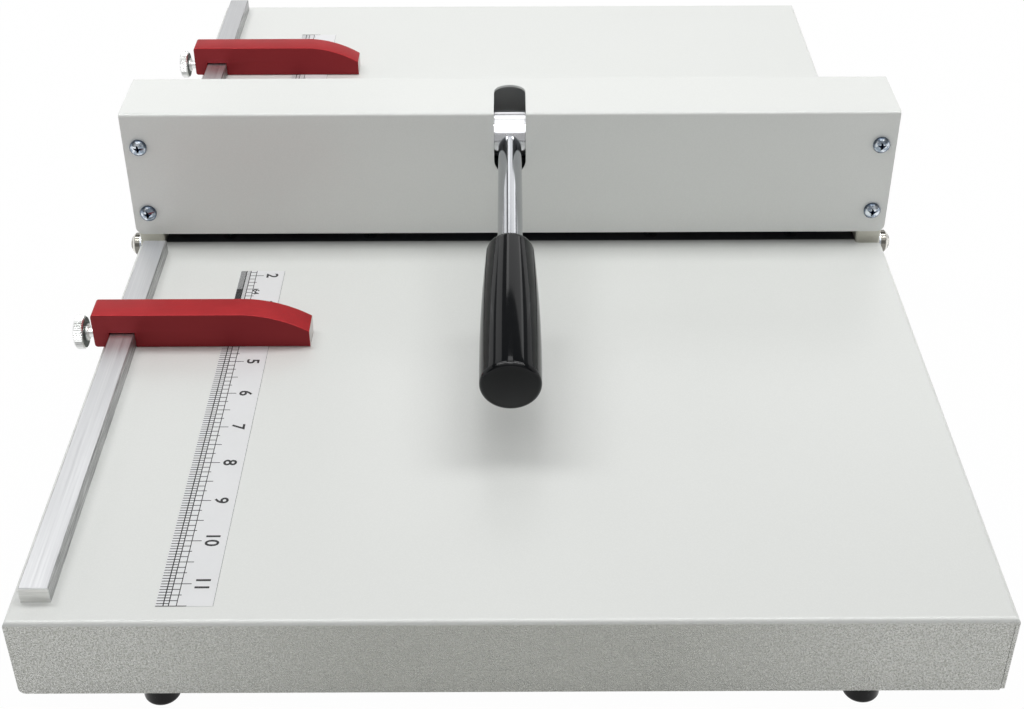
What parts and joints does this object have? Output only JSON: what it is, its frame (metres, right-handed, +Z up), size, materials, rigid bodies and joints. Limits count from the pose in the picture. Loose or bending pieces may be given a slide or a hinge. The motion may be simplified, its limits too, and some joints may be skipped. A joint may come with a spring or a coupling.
{
  "type": "desktop paper creasing machine",
  "caption": "Desktop paper creaser: sheet-metal tables, a bridge head whose hand lever presses a blade into a grooved die, and a rail, sliding stop and inch ruler on each table.",
  "frame": {"origin": "on the plane the feet stand on, under the middle of the crease line, which is within 4 mm of the middle of the whole machine's footprint", "axes": "+X to the right of a user who stands at the lever, along the crease line; +Y away from the user, along the paper's path; +Z up"},
  "size_m": [0.4144, 0.601, 0.1241],
  "materials": {
    "table_paint": "warm white powder coat with a fine leather grain, satin",
    "cover_paint": "warm white powder coat with a fine leather grain, satin",
    "frame_paint": "grey-olive paint, satin",
    "black_steel": "black oxide, dull",
    "blade_steel": "ground steel, fine lines along its length",
    "shaft_chrome": "turned and polished",
    "lever_chrome": "polished",
    "screw_zinc": "zinc plate, slightly blue",
    "spring_steel": "drawn wire",
    "bush_brass": "machined",
    "rail_aluminium": "drawn bar, fine lines along its length",
    "stop_red": "red anodised over brushed aluminium, bare at the tip",
    "knob_nickel": "bright nickel plate",
    "grip_black": "polished black",
    "foot_rubber": "moulded, dull",
    "ruler_print": "white label with black print"
  },
  "bodies": {
    "base": {"front_table": "table_paint", "rear_table": "table_paint", "head_cover": "cover_paint", "left_end_frame": "frame_paint", "right_end_frame": "frame_paint", "die_bed": "black_steel", "crease_die": "blade_steel", "rear_tie_bar": "black_steel", "table_screws": "screw_zinc", "foot_screws": "screw_zinc", "foot_nuts": "screw_zinc", "die_screws": "screw_zinc", "side_bolts": "screw_zinc", "side_washers": "screw_zinc", "tie_bar_screws": "screw_zinc", "front_cover_screws": "screw_zinc", "rear_cover_screws": "screw_zinc", "front_rail_screws": "screw_zinc", "rear_rail_screws": "screw_zinc", "left_shaft_bush": "bush_brass", "right_shaft_bush": "bush_brass", "left_return_spring": "spring_steel", "right_return_spring": "spring_steel", "front_rail": "rail_aluminium", "rear_rail": "rail_aluminium", "front_ruler": "ruler_print", "rear_ruler": "ruler_print", "front_left_foot": "foot_rubber", "front_right_foot": "foot_rubber", "rear_left_foot": "foot_rubber", "rear_right_foot": "foot_rubber"},
    "lever": {"eccentric_shaft": "shaft_chrome", "lever_rod": "lever_chrome", "lever_grip": "grip_black"},
    "blade_carriage": {"blade_beam": "black_steel", "crease_blade": "blade_steel", "blade_clamp_bar": "black_steel", "blade_clamp_screws": "screw_zinc", "left_follower_pad": "blade_steel", "right_follower_pad": "blade_steel", "follower_pad_screws": "screw_zinc"},
    "front_stop": {"front_stop": "stop_red"},
    "rear_stop": {"rear_stop": "stop_red"},
    "front_thumb_screw": {"front_thumb_screw": "knob_nickel"},
    "rear_thumb_screw": {"rear_thumb_screw": "knob_nickel"}
  },
  "joints": [
    {"name": "lever_swing", "type": "hinge", "parent": "base", "child": "lever", "pos_m": [0, 0, 0.1065], "axis": [-1, 0, 0], "range_deg": [-4, 112]},
    {"name": "carriage_lift", "type": "slide", "parent": "base", "child": "blade_carriage", "axis": [0, 0, 1], "range_m": [-0.00013, 0.00348], "deforming": ["left_return_spring", "right_return_spring"]},
    {"name": "front_stop_slide", "type": "slide", "parent": "base", "child": "front_stop", "axis": [0, 1, 0], "range_m": [-0.17, 0.068]},
    {"name": "rear_stop_slide", "type": "slide", "parent": "base", "child": "rear_stop", "axis": [0, 1, 0], "range_m": [-0.153, 0.085]},
    {"name": "front_thumb_turn", "type": "hinge", "parent": "front_stop", "child": "front_thumb_screw", "pos_m": [-0.2, -0.1077, 0.0528], "axis": [-1, 0, 0], "range_deg": [0, 360]},
    {"name": "rear_thumb_turn", "type": "hinge", "parent": "rear_stop", "child": "rear_thumb_screw", "pos_m": [-0.2, 0.1962, 0.0528], "axis": [-1, 0, 0], "range_deg": [0, 360]}
  ],
  "couplings": [
    {"joint": "carriage_lift", "follows": "lever_swing", "m_per_rad": 0.0017781}
  ]
}
